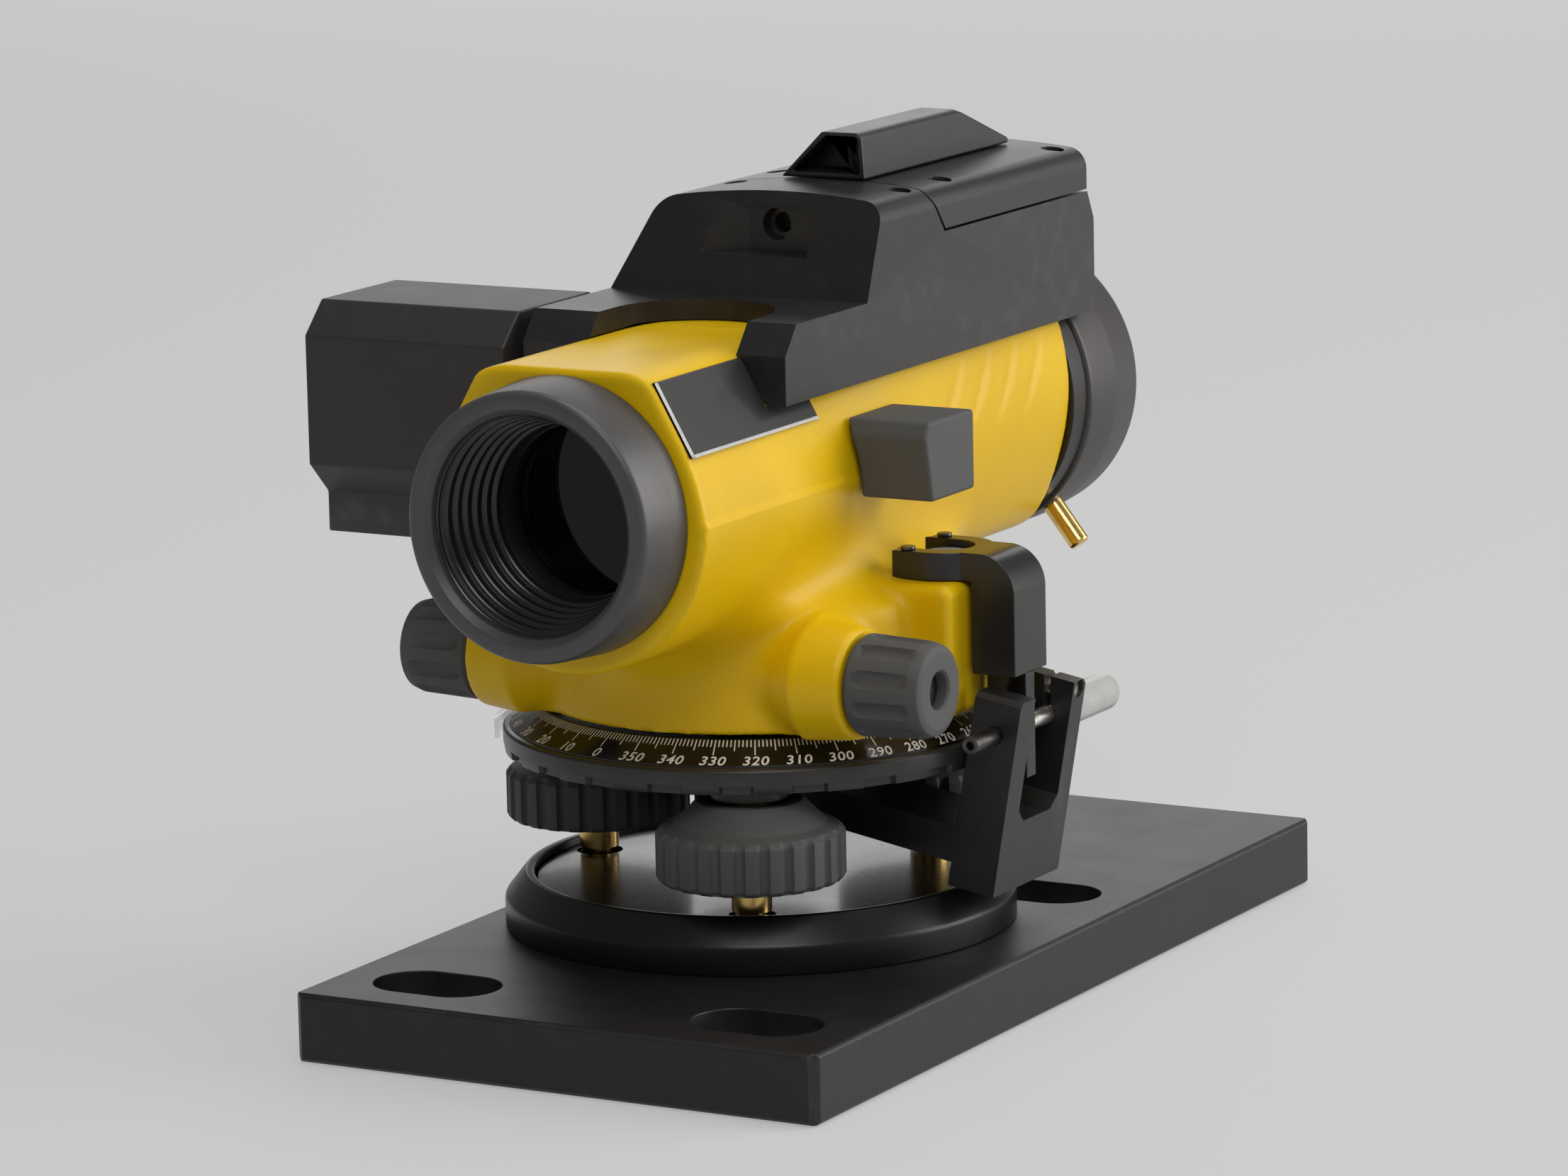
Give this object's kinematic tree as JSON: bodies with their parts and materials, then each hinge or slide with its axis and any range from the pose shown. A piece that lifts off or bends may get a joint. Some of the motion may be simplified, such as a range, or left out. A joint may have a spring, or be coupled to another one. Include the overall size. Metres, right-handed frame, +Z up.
{
  "type": "automatic optical level on slotted base plate",
  "caption": "Automatic optical level on a slotted base plate, with a top sight saddle, side optics box, graduated circle and fine azimuth adjuster.",
  "frame": {"origin": "the vertical axis of the instrument, at the underside of the base plate", "axes": "+Z up, +Y from the objective to the eyepiece along the length of the base plate, +X the side of the azimuth adjuster"},
  "size_m": [0.1649, 0.252, 0.197],
  "materials": {
    "anodised_black": "black anodised aluminium, fine bead-blasted",
    "footplate_black": "satin black paint on cast aluminium, smooth",
    "cast_black": "black painted casting",
    "spring_steel": "polished spring steel sheet",
    "brass": "turned brass, bright",
    "steel": "turned steel",
    "screw_black": "black oxide steel",
    "knob_plastic": "dark grey moulded plastic, satin",
    "circle_black": "black moulded plastic, satin",
    "clear_plastic": "clear moulded plastic",
    "yellow_paint": "yellow powder coat on cast aluminium, satin with fine texture",
    "cast_grey": "machined aluminium",
    "hood_black": "dark grey plastic and paint, fine grain",
    "gloss_black": "gloss black",
    "black_inner": "flat black inside",
    "dark_lens": "coated optical glass, dark inside",
    "optical_glass": "optical glass",
    "label_black": "black printed label with a pale edge, no lettering",
    "nylon_white": "translucent white nylon"
  },
  "bodies": {
    "base": {"base_plate": "anodised_black", "footplate": "footplate_black", "foot_sockets": "brass", "spring_plate": "spring_steel", "fixing_screws": "steel", "foot_balls_ab": "brass"},
    "tilt_ball": {"foot_ball_c": "brass"},
    "head": {"level_head": "cast_black", "screw_bushes": "steel", "spindle": "steel", "adjuster_post": "anodised_black", "pinch_screw": "screw_black", "plunger_cap": "nylon_white"},
    "foot_screw_a": {"foot_stem_a": "brass", "foot_knob_a": "knob_plastic"},
    "foot_screw_b": {"foot_stem_b": "brass", "foot_knob_b": "knob_plastic"},
    "foot_screw_c": {"foot_stem_c": "brass", "foot_knob_c": "knob_plastic"},
    "circle": {"circle_bezel": "circle_black", "circle_band": "circle_black"},
    "set_screw": {"set_screw": "steel"},
    "plunger": {"plunger_pin": "steel"},
    "level": {"housing": "yellow_paint", "housing_floor": "cast_grey", "index_window": "clear_plastic", "objective_hood": "hood_black", "lens_cell": "black_inner", "objective_lens": "dark_lens", "rear_ring": "gloss_black", "rear_adapter": "hood_black", "eyepiece_tube": "black_inner", "reticle": "optical_glass", "vial_ring": "gloss_black", "circular_vial": "optical_glass", "mirror_housing": "hood_black", "saddle": "anodised_black", "saddle_lid": "anodised_black", "laser_tube": "black_inner", "sight_tunnel": "anodised_black", "sight_lens": "optical_glass", "lid_screws": "screw_black", "side_box": "anodised_black", "side_bracket": "anodised_black", "label_plate": "label_black", "fork_arm": "anodised_black", "arm_screws": "screw_black"},
    "tangent": {"tangent_shaft": "steel", "tangent_knob_left": "knob_plastic", "tangent_knob_right": "knob_plastic"},
    "focus_drive": {"focus_shaft": "brass", "focus_knob": "knob_plastic"},
    "focus_cell": {"focus_carriage": "black_inner", "focus_lens": "optical_glass"},
    "compensator": {"compensator_frame": "black_inner", "compensator_prism": "optical_glass"},
    "eyepiece": {"eyepiece_ring": "knob_plastic", "eye_lens": "optical_glass"},
    "thumb_screw": {"thumb_screw": "brass"}
  },
  "joints": [
    {"name": "head_pitch", "type": "hinge", "parent": "base", "child": "tilt_ball", "pos_m": [0, 0, 0.0215], "axis": [-0.9986, 0.0523, 0], "range_deg": [-0.75, 0.75]},
    {"name": "head_roll", "type": "hinge", "parent": "tilt_ball", "child": "head", "pos_m": [0.02247, -0.00118, 0.0215], "axis": [-0.0523, -0.9986, 0], "range_deg": [-0.75, 0.75]},
    {"name": "foot_screw_a_turn", "type": "hinge", "parent": "head", "child": "foot_screw_a", "pos_m": [0.02043, -0.04009, 0.045], "axis": [0, 0, 1], "range_deg": [-270, 270]},
    {"name": "foot_screw_b_turn", "type": "hinge", "parent": "head", "child": "foot_screw_b", "pos_m": [0.02451, 0.03774, 0.045], "axis": [0, 0, 1], "range_deg": [-270, 270]},
    {"name": "foot_screw_c_turn", "type": "hinge", "parent": "head", "child": "foot_screw_c", "pos_m": [-0.04494, 0.00235, 0.045], "axis": [0, 0, 1], "range_deg": [-460, 460]},
    {"name": "circle_turn", "type": "hinge", "parent": "head", "child": "circle", "pos_m": [0, 0, 0.064], "axis": [0, 0, 1], "continuous": true},
    {"name": "azimuth", "type": "hinge", "parent": "head", "child": "level", "pos_m": [0, 0, 0.07], "axis": [0, 0, 1], "range_deg": [-2, 2]},
    {"name": "set_screw_travel", "type": "slide", "parent": "head", "child": "set_screw", "axis": [0, 1, 0], "range_m": [-0.0025, 0.0025]},
    {"name": "plunger_travel", "type": "slide", "parent": "head", "child": "plunger", "axis": [0, 1, 0], "range_m": [-0.0025, 0.0025]},
    {"name": "tangent_turn", "type": "hinge", "parent": "level", "child": "tangent", "pos_m": [0, -0.037, 0.082], "axis": [1, 0, 0], "range_deg": [-125, 125]},
    {"name": "focus_turn", "type": "hinge", "parent": "level", "child": "focus_drive", "pos_m": [-0.04, 0.022, 0.1247], "axis": [1, 0, 0], "range_deg": [-225, 225]},
    {"name": "focus_travel", "type": "slide", "parent": "level", "child": "focus_cell", "axis": [0, 1, 0], "range_m": [-0.0078, 0.0078]},
    {"name": "compensator_swing", "type": "hinge", "parent": "level", "child": "compensator", "pos_m": [0, 0.052, 0.1362], "axis": [1, 0, 0], "range_deg": [-0.5, 0.5]},
    {"name": "dioptre_turn", "type": "hinge", "parent": "level", "child": "eyepiece", "pos_m": [0, 0.13, 0.1247], "axis": [0, 1, 0], "range_deg": [-150, 150]},
    {"name": "thumb_screw_turn", "type": "hinge", "parent": "level", "child": "thumb_screw", "pos_m": [0.01847, 0.109, 0.10106], "axis": [0.6157, 0, -0.788], "range_deg": [0, 720]}
  ],
  "couplings": [
    {"joint": "foot_screw_a_turn", "follows": "head_pitch", "ratio": 326.48},
    {"joint": "foot_screw_b_turn", "follows": "head_pitch", "ratio": -326.48},
    {"joint": "foot_screw_c_turn", "follows": "head_roll", "ratio": 565.49},
    {"joint": "set_screw_travel", "follows": "azimuth", "m_per_rad": 0.0674},
    {"joint": "plunger_travel", "follows": "azimuth", "m_per_rad": 0.0674},
    {"joint": "tangent_turn", "follows": "azimuth", "ratio": 60},
    {"joint": "focus_turn", "follows": "focus_travel", "rad_per_m": 500}
  ]
}
